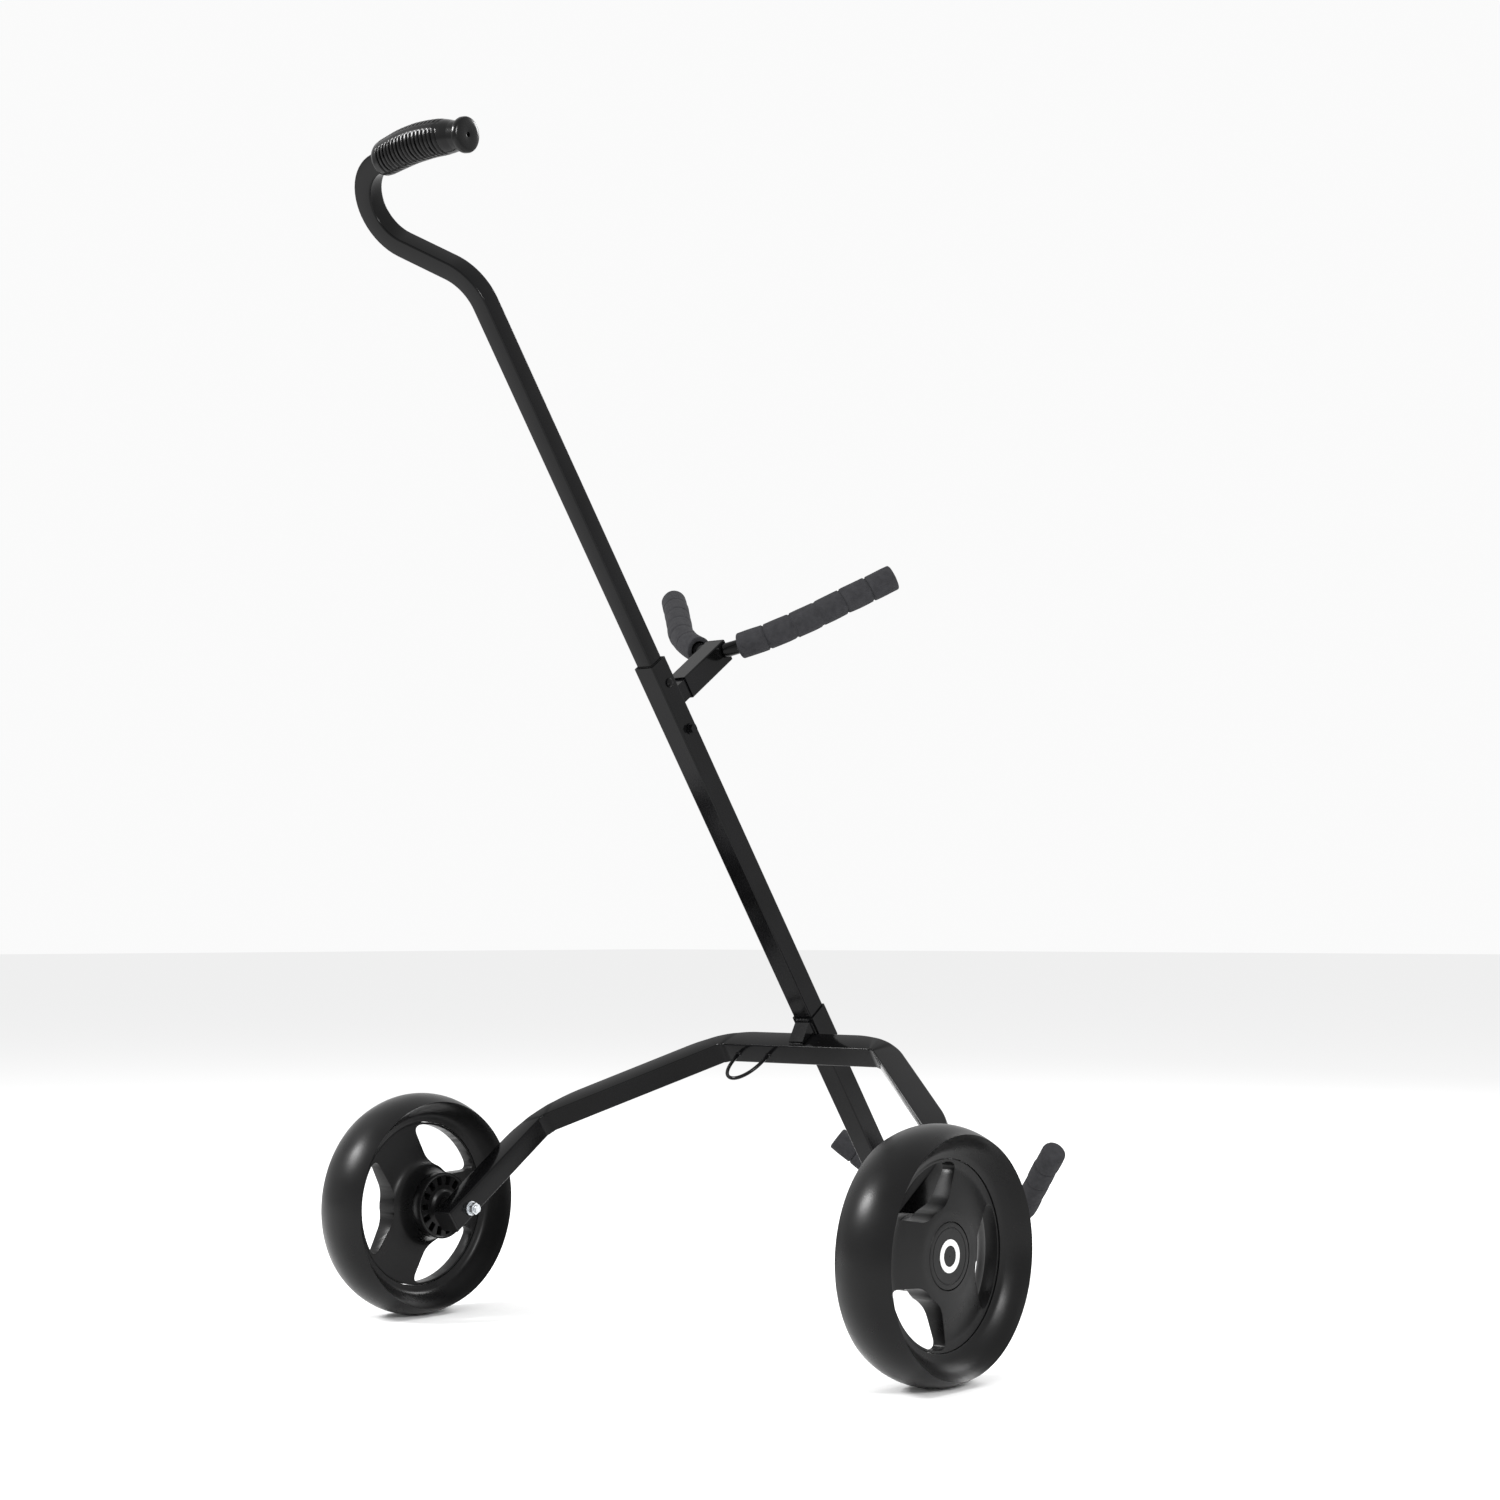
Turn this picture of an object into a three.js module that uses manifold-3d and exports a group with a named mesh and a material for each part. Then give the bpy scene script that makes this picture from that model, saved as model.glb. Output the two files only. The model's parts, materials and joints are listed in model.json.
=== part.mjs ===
// Golf push trolley: a leaning square spine with a telescoping swan-neck handle, a bent axle frame with two
// wide wheels, and an upper and a lower cradle with foam-covered arms for the bag.
// Millimetres, +Z up. +Y points ahead (the bag side), -Y to the person pushing, X along the axle.
import * as THREE from "three";
import { mergeVertices } from "three/addons/utils/BufferGeometryUtils.js";
import Module from "manifold-3d";

const wasm = await Module();
wasm.setup();

const GAP = 0.3; // between pieces that touch

// Spine and handle: square tubes, measured along the spine from the level of the axle
const LEAN = THREE.MathUtils.degToRad(35.7); // the spine leans back towards the handle
const TUBE = 25.6;
const TUBE_WALL = 1.5;
const TUBE_EDGE = 1.6; // corner radius of the square tube
const AXLE_TO_SPINE = 417; // ahead of the axle, at the axle's height
const SPINE_TOP = 733;
const HANDLE_TUBE = 20.2;
const HANDLE_WALL = 1.4;
const HANDLE_FOOT = 590; // lower end of the handle tube, inside the spine
const SWAN_START = 1181; // corner of the first bend
const SWAN_TURN = THREE.MathUtils.degToRad(54.7);
const SWAN_RADIUS = 55;
const SWAN_RUN = 207.5; // from the first corner to the second
const CROOK_RADIUS = 48;
const GRIP_MIDDLE = 14.4; // across the trolley
const GRIP_TOP = 1324.5; // the tube's axis at the middle of the grip
const GRIP_BOW = 250; // radius of the gentle bow under the grip
const GRIP_RISE = THREE.MathUtils.degToRad(8); // the bow's slope at either end
const GRIP_FROM = -48;
const GRIP_TO = 66;
const GRIP_END_RADIUS = 17.8;

// Axle frame: one bent square tube behind the spine
const BAR_BEHIND_SPINE = 31.7;
const BAR_HEIGHT = 241; // along the spine
const FRAME_TILT = THREE.MathUtils.degToRad(-1);
const SHOULDER_X = 115; // corner where the crossbar turns down
const LEG_X = 291;
const KNEE_BACK = 152; // how far behind the crossbar the leg straightens
const LEG_END_BACK = 334;
const BEND_OUTSIDE = 128;
const BEND_INSIDE = 20;
const COLLAR_TOP = 270.5;
const COLLAR_LENGTH = 42;

// Wheels
const WHEEL_RADIUS = 125;
const TRACK = 728;
const TREAD_HALF = 33;
const SHOULDER_RADIUS = 116.2;
const RIM_RADIUS = 92; // where the tyre meets the disc
const WINDOW_OUTER = 89;
const WINDOW_INNER = 47;
const WINDOW_OUTER_HALF = THREE.MathUtils.degToRad(38.5);
const WINDOW_INNER_HALF = THREE.MathUtils.degToRad(20);
const WINDOW_ROUND = 11;
const WINDOW_AT = { right: 114, left: 60 }; // degrees about the axle
const WHEEL_SIDES = 40;
const AXLE_RADIUS = 4;
const BUSH_RADIUS = 9;
const CAP_RADIUS = 32.4;
const HUB_FACE = 15.6; // outward of the tyre's middle
const HUB_END = -44; // inward end of the castellated ring
const HUB_SEAT = -29; // where the hub ring butts against the disc
const HUB_RADIUS = 37;
const HUB_POCKETS = 14;

// Bag cradles
const BOX_FROM = 27; // ahead of the spine's axis
const UPPER_CRADLE = { height: 685, boxTo: 104, armAhead: 96.5, armRise: 2, armPitch: 0 };
const LOWER_CRADLE = { height: -151, boxTo: 120, armAhead: 112, armRise: -5, armPitch: Math.PI / 2 };
const ROD_RADIUS = 8;
const FOAM_RADIUS = 14.6;
const FOAM_FROM = 32; // along the arm

// Colours and finishes
const PAINT = { color: 0x0c0c0d, roughness: 0.18, metalness: 0.0 };
const BLACK_PLASTIC = { color: 0x141415, roughness: 0.42, metalness: 0.0 };
const GRIP_PLASTIC = { color: 0x0d0d0e, roughness: 0.3, metalness: 0.0 };
const FOAM = { color: 0x2b2b2d, roughness: 0.95, metalness: 0.0 };
const ZINC = { color: 0xc9ced2, roughness: 0.3, metalness: 1.0 };
const EMBLEM = { color: 0xd8d8d6, roughness: 0.5, metalness: 0.0 };

// ---- solids -------------------------------------------------------------------------------------

function toSolid(geometry) {
  const bare = geometry.index ? geometry.toNonIndexed() : geometry.clone();
  const soup = new THREE.BufferGeometry().setAttribute("position", bare.getAttribute("position"));
  const merged = mergeVertices(soup, 1e-3);
  return new wasm.Manifold(
    new wasm.Mesh({
      numProp: 3,
      vertProperties: merged.attributes.position.array,
      triVerts: new Uint32Array(merged.index.array),
    }),
  );
}

function toGeometry(solid) {
  const mesh = solid.getMesh();
  return new THREE.BufferGeometry()
    .setAttribute("position", new THREE.BufferAttribute(mesh.vertProperties, 3))
    .setIndex(new THREE.BufferAttribute(mesh.triVerts, 1));
}

function join(...geometries) {
  return toGeometry(geometries.map(toSolid).reduce((sum, next) => sum.add(next)));
}

function cut(geometry, ...cutters) {
  return toGeometry(cutters.map(toSolid).reduce((rest, cutter) => rest.subtract(cutter), toSolid(geometry)));
}

function block(xRange, yRange, zRange) {
  const [x, y, z] = [xRange, yRange, zRange];
  return new THREE.BoxGeometry(x[1] - x[0], y[1] - y[0], z[1] - z[0]).translate(
    (x[0] + x[1]) / 2,
    (y[0] + y[1]) / 2,
    (z[0] + z[1]) / 2,
  );
}

// A cylinder along X, between two places.
function rodAlongX(from, to, radius, sides = 20) {
  const length = to - from;
  return new THREE.CylinderGeometry(radius, radius, length, sides)
    .rotateZ(-Math.PI / 2)
    .translate(from + length / 2, 0, 0);
}

// A solid turned about X. The profile is [radius, x] pairs: it starts and ends on the axis, or it is a ring's
// section, which is closed here. Whichever way round it is listed, the faces are turned to point out.
function turned(profile, sides) {
  const isRing = profile[0][0] > 0;
  const loop = isRing ? [...profile, profile[0]] : profile;
  const area = loop.slice(1).reduce((sum, [r, x], i) => sum + (loop[i][0] * x - r * loop[i][1]), 0);
  const ordered = area < 0 ? [...loop].reverse() : loop;
  const points = ordered.map(([radius, x]) => new THREE.Vector2(radius, x));
  return new THREE.LatheGeometry(points, sides).rotateZ(-Math.PI / 2);
}

function roundedSquare(width, depth, edge) {
  const [x, y] = [width / 2 - edge, depth / 2 - edge];
  const shape = new THREE.Shape();
  shape.absarc(x, y, edge, 0, Math.PI / 2);
  shape.absarc(-x, y, edge, Math.PI / 2, Math.PI);
  shape.absarc(-x, -y, edge, Math.PI, 1.5 * Math.PI);
  shape.absarc(x, -y, edge, 1.5 * Math.PI, 2 * Math.PI);
  return shape;
}

// A square bar along Z.
function squareBar(width, depth, edge, from, to) {
  return new THREE.ExtrudeGeometry(roundedSquare(width, depth, edge), {
    depth: to - from,
    bevelEnabled: false,
    curveSegments: 2,
  }).translate(0, 0, from);
}

function squareTube(size, wall, edge, from, to) {
  const inner = size - 2 * wall;
  return cut(squareBar(size, size, edge, from, to), squareBar(inner, inner, 0.4, from - 1, to + 1));
}

// The line offset sideways from a centre line (to its left when positive), with its corners rounded.
// A corner is { x, y, inside, outside }: inside and outside are the radii on the two sides of the bend.
function roundedOffset(corners, offset, wall = 0) {
  const points = [];
  corners.forEach((corner, i) => {
    const here = new THREE.Vector2(corner.x, corner.y);
    const before = i ? here.clone().sub(corners[i - 1]).normalize() : null;
    const next = corners[i + 1];
    const after = next ? new THREE.Vector2().copy(next).sub(here).normalize() : null;
    const [into, out] = [before ?? after, after ?? before];
    const turn = Math.atan2(into.cross(out), into.dot(out));
    const middle = into.clone().add(out).normalize();
    const side = new THREE.Vector2(-middle.y, middle.x).multiplyScalar(offset / Math.cos(turn / 2));
    const corner2 = here.add(side);
    if (Math.abs(turn) < 1e-6) {
      points.push(corner2);
      return;
    }
    const isInside = Math.sign(turn) === Math.sign(offset);
    const radius = isInside ? corner.inside + wall : corner.outside - wall;
    const tangent = radius * Math.tan(Math.abs(turn) / 2);
    const start = corner2.clone().addScaledVector(into, -tangent);
    const sign = Math.sign(turn);
    const centre = start.clone().add(new THREE.Vector2(-into.y, into.x).multiplyScalar(sign * radius));
    const steps = Math.max(3, Math.ceil(Math.abs(turn) / THREE.MathUtils.degToRad(11)));
    for (let k = 0; k <= steps; k++) {
      points.push(start.clone().rotateAround(centre, (turn * k) / steps));
    }
  });
  return points;
}

// A square tube bent in its own plane, lying in XY with its thickness along Z.
function bentTube(corners, size, wall, edge) {
  const outline = (half, shrink) => [
    ...roundedOffset(corners, half, shrink),
    ...roundedOffset(corners, -half, shrink).reverse(),
  ];
  const outer = new THREE.ExtrudeGeometry(new THREE.Shape(outline(size / 2, 0)), {
    depth: size - 2 * edge,
    bevelThickness: edge,
    bevelSize: edge,
    bevelOffset: -edge,
    bevelSegments: 1,
  }).translate(0, 0, edge - size / 2);
  const inner = size - 2 * wall;
  const longer = corners.map((corner) => ({ ...corner }));
  for (const [end, next] of [[0, 1], [longer.length - 1, longer.length - 2]]) {
    const along = new THREE.Vector2().copy(corners[end]).sub(corners[next]).normalize();
    longer[end].x += along.x;
    longer[end].y += along.y;
  }
  const bore = new THREE.ExtrudeGeometry(
    new THREE.Shape([
      ...roundedOffset(longer, inner / 2, wall),
      ...roundedOffset(longer, -inner / 2, wall).reverse(),
    ]),
    { depth: inner, bevelEnabled: false },
  ).translate(0, 0, -inner / 2);
  return cut(outer, bore);
}

// A straight run, an arc and a second straight run, in the XY plane, leaving the origin at an angle above X.
class ArmCurve extends THREE.Curve {
  constructor({ heading, lead, radius, turn, run }) {
    super();
    Object.assign(this, { heading, lead, radius, turn, run });
    this.length = lead + radius * turn + run;
  }

  getPoint(t, target = new THREE.Vector3()) {
    const along = t * this.length;
    const arc = THREE.MathUtils.clamp((along - this.lead) / this.radius, 0, this.turn);
    const [start, now] = [this.heading, this.heading + arc];
    const first = Math.min(along, this.lead);
    const last = Math.max(0, along - this.lead - this.radius * this.turn);
    return target.set(
      first * Math.cos(start) + this.radius * (Math.sin(now) - Math.sin(start)) + last * Math.cos(now),
      first * Math.sin(start) + this.radius * (Math.cos(start) - Math.cos(now)) + last * Math.sin(now),
      0,
    );
  }
}

function tubeAlong(curve, radius, steps, sides) {
  const circle = new THREE.Shape().absarc(0, 0, radius, 0, 2 * Math.PI);
  return new THREE.ExtrudeGeometry(circle, { extrudePath: curve, steps, curveSegments: sides });
}

// The stretch of a curve between two lengths along it.
class Stretch extends THREE.Curve {
  constructor(curve, from, to) {
    super();
    Object.assign(this, { curve, from: from / curve.length, to: to / curve.length });
  }

  getPoint(t, target = new THREE.Vector3()) {
    return this.curve.getPoint(this.from + (this.to - this.from) * t, target);
  }
}

function mesh(name, geometry, finish) {
  const made = new THREE.Mesh(geometry, new THREE.MeshStandardMaterial(finish));
  made.name = name;
  return made;
}

// ---- spine --------------------------------------------------------------------------------------

// Everything on the spine is built in its own frame: X across, Y ahead of its axis, Z up along it.
const spine = new THREE.Group();
spine.position.set(0, AXLE_TO_SPINE, WHEEL_RADIUS);
spine.rotation.x = LEAN;

// A world-aligned solid, taken into the spine's frame.
function fromWorld(geometry) {
  spine.updateMatrixWorld(true);
  return geometry.applyMatrix4(spine.matrixWorld.clone().invert());
}

const PAD_THICKNESS = 7;
// Where the spine's axis meets the floor, ahead of its origin.
const FLOOR_BACK = WHEEL_RADIUS * Math.tan(LEAN);

function underFloor(height) {
  return fromWorld(block([-100, 100], [AXLE_TO_SPINE - 200, AXLE_TO_SPINE + 400], [-200, height]));
}

const SCREW_HEIGHTS = { upper: 706, lower: 648 };
const SCREW_RADIUS = 2.7;

function makeSpine() {
  const blank = squareTube(TUBE, TUBE_WALL, TUBE_EDGE, -190, SPINE_TOP);
  const holes = Object.values(SCREW_HEIGHTS).map((height) =>
    rodAlongX(TUBE / 2 - 4, TUBE / 2 + 2, SCREW_RADIUS + GAP, 12).translate(0, 2, height),
  );
  spine.add(mesh("main_tube", cut(blank, underFloor(PAD_THICKNESS + GAP), ...holes), PAINT));

  const bore = TUBE - 2 * TUBE_WALL - 2 * GAP;
  const sleeve = HANDLE_TUBE + 2 * GAP;
  const bush = cut(
    squareBar(bore, bore, 0.4, SPINE_TOP - 18, SPINE_TOP + 0.8),
    squareBar(sleeve, sleeve, 1, SPINE_TOP - 20, SPINE_TOP + 2),
  );
  spine.add(mesh("main_tube_guide_bush", bush, BLACK_PLASTIC));

  const contact = AXLE_TO_SPINE + FLOOR_BACK;
  const pad = fromWorld(block([-14.5, 14.5], [contact - 19, contact + 9.5], [0, PAD_THICKNESS]));
  const insert = cut(squareBar(bore, bore, 1, -185, -122), underFloor(1));
  spine.add(mesh("main_tube_foot", join(pad, insert), BLACK_PLASTIC));
}

// Two screws through the spine's right wall, which hold the handle tube at its height.
function makeScrews() {
  const face = TUBE / 2;
  const seat = face + GAP;
  const shankEnd = HANDLE_TUBE / 2 + GAP;
  const shank = () => rodAlongX(shankEnd, face + 2, SCREW_RADIUS, 12);
  const dome = turned([[0, seat], [5.2, seat], [5, face + 1.4], [3.4, face + 3], [0, face + 3.6]], 16);
  const hexHead = rodAlongX(face + 1.8, face + 6, 5, 6);
  const washer = cut(rodAlongX(seat, face + 1.5, 6, 20), rodAlongX(face, face + 2, SCREW_RADIUS + GAP, 12));
  spine.add(
    mesh("height_screw_upper", join(shank(), dome).translate(0, 2, SCREW_HEIGHTS.upper), PAINT),
    mesh("height_screw_lower", join(shank(), hexHead).translate(0, 2, SCREW_HEIGHTS.lower), PAINT),
    mesh("height_screw_washer", washer.translate(0, 2, SCREW_HEIGHTS.lower), PAINT),
  );
}

// The sleeve round the spine and the sloping gusset that ties it to the crossbar.
function makeCollar() {
  const outer = TUBE + 2 * GAP + 3;
  const bottom = COLLAR_TOP - COLLAR_LENGTH;
  const sleeve = cut(
    squareBar(outer, outer, 2.4, bottom, COLLAR_TOP),
    squareBar(TUBE + 2 * GAP, TUBE + 2 * GAP, TUBE_EDGE, bottom - 1, COLLAR_TOP + 1),
  );
  spine.add(mesh("spine_collar", sleeve, PAINT));

  const back = outer / 2 + GAP;
  const barFront = BAR_BEHIND_SPINE - TUBE / 2 - GAP - 0.6;
  const barTop = BAR_HEIGHT + TUBE / 2 + GAP + 0.4;
  const side = new THREE.Shape([
    new THREE.Vector2(back, COLLAR_TOP - 3),
    new THREE.Vector2(back, bottom + 3),
    new THREE.Vector2(barFront, bottom + 3),
    new THREE.Vector2(barFront, barTop),
    new THREE.Vector2(BAR_BEHIND_SPINE + 8, barTop + 0.4),
    new THREE.Vector2(BAR_BEHIND_SPINE + 8, barTop + 3),
    new THREE.Vector2(back + 3, COLLAR_TOP - 3),
  ]);
  const width = 20;
  const gusset = new THREE.ExtrudeGeometry(side, { depth: width, bevelEnabled: false })
    .rotateX(Math.PI / 2)
    .rotateZ(-Math.PI / 2)
    .translate(width / 2 + 1, 0, 0);
  spine.add(mesh("collar_gusset", gusset, PAINT));
}

// ---- axle frame ---------------------------------------------------------------------------------

// Its own frame: X across, -Y back along the legs, Z square to the frame's plane.
const axleFrame = new THREE.Group();
axleFrame.position.set(0, -BAR_BEHIND_SPINE, BAR_HEIGHT);
axleFrame.rotation.x = FRAME_TILT;
spine.add(axleFrame);

function makeAxleFrame() {
  const bend = { inside: BEND_INSIDE, outside: BEND_OUTSIDE };
  const right = [
    { x: SHOULDER_X, y: 0, ...bend },
    { x: LEG_X, y: -KNEE_BACK, ...bend },
    { x: LEG_X, y: -LEG_END_BACK },
  ];
  const left = right.map((corner) => ({ ...corner, x: -corner.x })).reverse();
  spine.updateMatrixWorld(true);
  const toFrame = axleFrame.matrixWorld.clone().invert();
  const boltHole = rodAlongX(-400, 400, AXLE_RADIUS + GAP, 16)
    .translate(0, 0, WHEEL_RADIUS)
    .applyMatrix4(toFrame);
  const tube = cut(bentTube([...left, ...right], TUBE, TUBE_WALL, TUBE_EDGE), boltHole);
  axleFrame.add(mesh("axle_frame", tube, PAINT));

  const bore = TUBE - 2 * TUBE_WALL - 2 * GAP;
  for (const [name, side] of [["left", -1], ["right", 1]]) {
    const flange = squareBar(TUBE, TUBE, TUBE_EDGE, 0, 2.4);
    const insert = squareBar(bore, bore, 1, -14, 1);
    const cap = join(flange, insert)
      .rotateX(Math.PI / 2)
      .translate(side * LEG_X, -LEG_END_BACK - GAP, 0);
    axleFrame.add(mesh("leg_end_cap_" + name, cap, BLACK_PLASTIC));
  }
}

// A thin rod bent to a U behind the crossbar, left of the spine, to hang things from.
function makeHangingLoop() {
  const rod = 2; // its radius
  const spread = 22;
  const reach = 44;
  const face = -TUBE / 2 - GAP;
  class LoopCurve extends THREE.Curve {
    getPoint(t, target = new THREE.Vector3()) {
      const angle = Math.PI * t;
      const out = Math.pow(Math.sin(angle), 0.8);
      return target.set(-66 - spread * Math.cos(angle), face - reach * out, -1);
    }
  }
  const loop = tubeAlong(new LoopCurve(), rod, 18, 4);
  const behindBar = block([-200, 0], [face, face + 30], [-20, 20]);
  axleFrame.add(mesh("hanging_loop", cut(loop, behindBar), PAINT));
}

// ---- wheels -------------------------------------------------------------------------------------

// A wheel's own frame: X outward from the trolley, origin at the middle of the tyre.
function makeTyre() {
  const crown = [-1, -0.6, 0, 0.6, 1].map((part) => [
    WHEEL_RADIUS - (WHEEL_RADIUS - SHOULDER_RADIUS) * Math.abs(part) ** 2.1,
    part * TREAD_HALF,
  ]);
  const outwardWall = [[108, 20], [99, 11.5], [RIM_RADIUS + GAP, 10.5]];
  const inwardWall = [[RIM_RADIUS + GAP, -5], [99, -6], [108, -18]];
  const profile = [...crown, ...outwardWall, ...inwardWall];
  return turned(profile, WHEEL_SIDES);
}

// A window is a rounded trapezium, wide at the rim, cut right through the disc.
function makeWindow(angle) {
  const polar = (radius, spread) => new THREE.Vector2(radius, 0).rotateAround(new THREE.Vector2(), spread);
  const arcEnd = WINDOW_OUTER_HALF - WINDOW_ROUND / WINDOW_OUTER;
  const inner = polar(WINDOW_INNER, WINDOW_INNER_HALF);
  const outer = polar(WINDOW_OUTER, WINDOW_OUTER_HALF);
  const side = outer.clone().sub(inner).normalize().multiplyScalar(WINDOW_ROUND);
  const [low, high] = [inner.clone().add(side), outer.clone().sub(side)];
  const shape = new THREE.Shape();
  shape.absarc(0, 0, WINDOW_OUTER, -arcEnd, arcEnd);
  shape.quadraticCurveTo(outer.x, outer.y, high.x, high.y);
  shape.lineTo(low.x, low.y);
  shape.quadraticCurveTo(inner.x, inner.y, WINDOW_INNER, 4);
  shape.lineTo(WINDOW_INNER, -4);
  shape.quadraticCurveTo(inner.x, -inner.y, low.x, -low.y);
  shape.lineTo(high.x, -high.y);
  const first = polar(WINDOW_OUTER, -arcEnd);
  shape.quadraticCurveTo(outer.x, -outer.y, first.x, first.y);
  // Drawn in XY and pushed along Z, then turned so that X runs along the axle and Z is up.
  return new THREE.ExtrudeGeometry(shape, { depth: 80, bevelEnabled: false, curveSegments: 5 })
    .translate(0, 0, -40)
    .rotateZ(angle)
    .rotateX(Math.PI / 2)
    .rotateZ(Math.PI / 2);
}

function makeDisc(windowAngle) {
  const bore = BUSH_RADIUS + GAP;
  const profile = [
    [bore, 6],
    [bore, HUB_SEAT],
    [HUB_RADIUS, HUB_SEAT],
    [41, -18],
    [52, -6.5],
    [RIM_RADIUS - GAP, -4.5],
    [RIM_RADIUS - GAP, 9.5],
    [78, 8.5],
    [60, 12],
    [44, 14.9],
    [CAP_RADIUS + GAP, HUB_FACE],
    [CAP_RADIUS + GAP, HUB_FACE - 3],
    [14, HUB_FACE - 3],
    [14, 6],
  ];
  const blank = turned(profile, WHEEL_SIDES);
  const windows = [0, 1, 2].map((i) => makeWindow(windowAngle + (i * 2 * Math.PI) / 3));
  return cut(blank, ...windows);
}

// The ring on the inward end of the hub, with square pockets round its face.
function makeHubRing() {
  const bore = BUSH_RADIUS + GAP;
  const profile = [
    [bore, HUB_SEAT - GAP],
    [bore, HUB_END],
    [16, HUB_END],
    [19, HUB_END + 2.5],
    [34, HUB_END + 2.5],
    [HUB_RADIUS, HUB_END + 1],
    [HUB_RADIUS, HUB_SEAT - GAP],
  ];
  const blank = turned(profile, 24);
  const pockets = [];
  for (let i = 0; i < HUB_POCKETS; i++) {
    const pocket = block([HUB_END - 5, HUB_END + 11], [23, 33], [-3.4, 3.4]);
    pockets.push(pocket.rotateX((i * 2 * Math.PI) / HUB_POCKETS));
  }
  return cut(blank, ...pockets);
}

function makeWheel(name, side) {
  const wheel = new THREE.Group();
  wheel.position.set((side * TRACK) / 2, 0, WHEEL_RADIUS);
  wheel.rotation.z = side > 0 ? 0 : Math.PI;
  const windowAngle = THREE.MathUtils.degToRad(side > 0 ? WINDOW_AT.right : 180 - WINDOW_AT.left);
  const bushBore = AXLE_RADIUS + 0.35;
  const bush = turned([[bushBore, 5.7], [bushBore, HUB_END], [BUSH_RADIUS, HUB_END], [BUSH_RADIUS, 5.7]], 24);
  const capBack = HUB_FACE - 2.6;
  const capFace = [[CAP_RADIUS - 1, HUB_FACE], [0, HUB_FACE]];
  const cap = turned([[0, capBack], [CAP_RADIUS, capBack], [CAP_RADIUS, HUB_FACE - 0.6], ...capFace], 28);
  const ring = [[10, HUB_FACE + GAP], [16, HUB_FACE + GAP], [16, HUB_FACE + 0.9], [10, HUB_FACE + 0.9]];
  wheel.add(
    mesh("tyre_" + name, makeTyre(), BLACK_PLASTIC),
    mesh("wheel_disc_" + name, makeDisc(windowAngle), BLACK_PLASTIC),
    mesh("hub_ring_" + name, makeHubRing(), BLACK_PLASTIC),
    mesh("hub_bush_" + name, bush, BLACK_PLASTIC),
    mesh("hub_cap_" + name, cap, BLACK_PLASTIC),
    mesh("hub_cap_ring_" + name, turned(ring, 28), EMBLEM),
  );
  return wheel;
}

// The bolt that carries a wheel, from under its cap to the nut on the leg's inward face.
function makeAxle(name, side) {
  const axle = new THREE.Group();
  axle.position.set((side * TRACK) / 2, 0, WHEEL_RADIUS);
  axle.rotation.z = side > 0 ? 0 : Math.PI;
  const legOut = LEG_X + TUBE / 2 - TRACK / 2;
  const legIn = LEG_X - TUBE / 2 - TRACK / 2;
  const bolt = join(rodAlongX(legIn - 12, 7, AXLE_RADIUS, 16), rodAlongX(6.2, 12, 7, 6));
  const spacer = cut(rodAlongX(legOut + GAP, HUB_END - GAP, 9, 20), rodAlongX(-90, 0, AXLE_RADIUS + GAP, 16));
  const washer = cut(rodAlongX(legIn - 1.9, legIn - GAP, 8, 24), rodAlongX(-99, 0, AXLE_RADIUS + GAP, 16));
  const nut = cut(rodAlongX(legIn - 8.6, legIn - 2.2, 6.8, 6), rodAlongX(-99, 0, AXLE_RADIUS + GAP, 16));
  axle.add(
    mesh("axle_bolt_" + name, bolt, ZINC),
    mesh("axle_spacer_" + name, spacer, BLACK_PLASTIC),
    mesh("axle_washer_" + name, washer, ZINC),
    mesh("axle_nut_" + name, nut, ZINC),
  );
  return axle;
}

// ---- bag cradles --------------------------------------------------------------------------------

const ARM = new ArmCurve({
  heading: THREE.MathUtils.degToRad(19),
  lead: 8,
  radius: 195,
  turn: THREE.MathUtils.degToRad(30.6),
  run: 105.5,
});

// A stub on the spine's front face, a box tube square to the spine, and two foam-covered arms at its end.
// The upper arms open ahead, round the bag; the lower ones rise along the spine, in front of its base.
function makeCradle(name, { height, boxTo, armAhead, armRise, armPitch }) {
  const cradle = new THREE.Group();
  cradle.position.z = height;
  const stub = block([-11, 11], [TUBE / 2 + GAP, BOX_FROM - GAP], [-10.5, 10.5]);
  const toAhead = (geometry) => geometry.rotateX(-Math.PI / 2);
  const box = toAhead(squareTube(TUBE, TUBE_WALL, TUBE_EDGE, BOX_FROM, boxTo));
  const bore = TUBE - 2 * TUBE_WALL - 2 * GAP;
  const cap = squareBar(TUBE, TUBE, TUBE_EDGE, boxTo + GAP, boxTo + 2.4);
  const plug = join(cap, squareBar(bore, bore, 1, boxTo - 5, boxTo + 1));
  cradle.add(
    mesh(name + "_bracket_stub", stub, PAINT),
    mesh(name + "_bracket_box", box, PAINT),
    mesh(name + "_bracket_plug", toAhead(plug), BLACK_PLASTIC),
  );
  const rodTip = ARM.length - 6;
  const clear = TUBE / 2 + GAP;
  const besideBox = block([-clear, clear], [-60, 60], [-60, 60]);
  for (const [sideName, side] of [["left", -1], ["right", 1]]) {
    const rod = cut(tubeAlong(new Stretch(ARM, 0, rodTip), ROD_RADIUS, 9, 5), besideBox);
    const foam = cut(
      tubeAlong(new Stretch(ARM, FOAM_FROM, ARM.length), FOAM_RADIUS, 8, 6),
      tubeAlong(new Stretch(ARM, FOAM_FROM - 4, rodTip + GAP), ROD_RADIUS + 0.6, 9, 5),
    );
    for (const [part, geometry, finish] of [["rod", rod, PAINT], ["foam", foam, FOAM]]) {
      if (side < 0) geometry.rotateY(Math.PI); // the arm is the same on both faces of its own plane
      geometry.rotateX(armPitch).translate(0, armAhead, armRise);
      cradle.add(mesh(name + "_arm_" + part + "_" + sideName, geometry, finish));
    }
  }
  return cradle;
}

// ---- handle -------------------------------------------------------------------------------------

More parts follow.
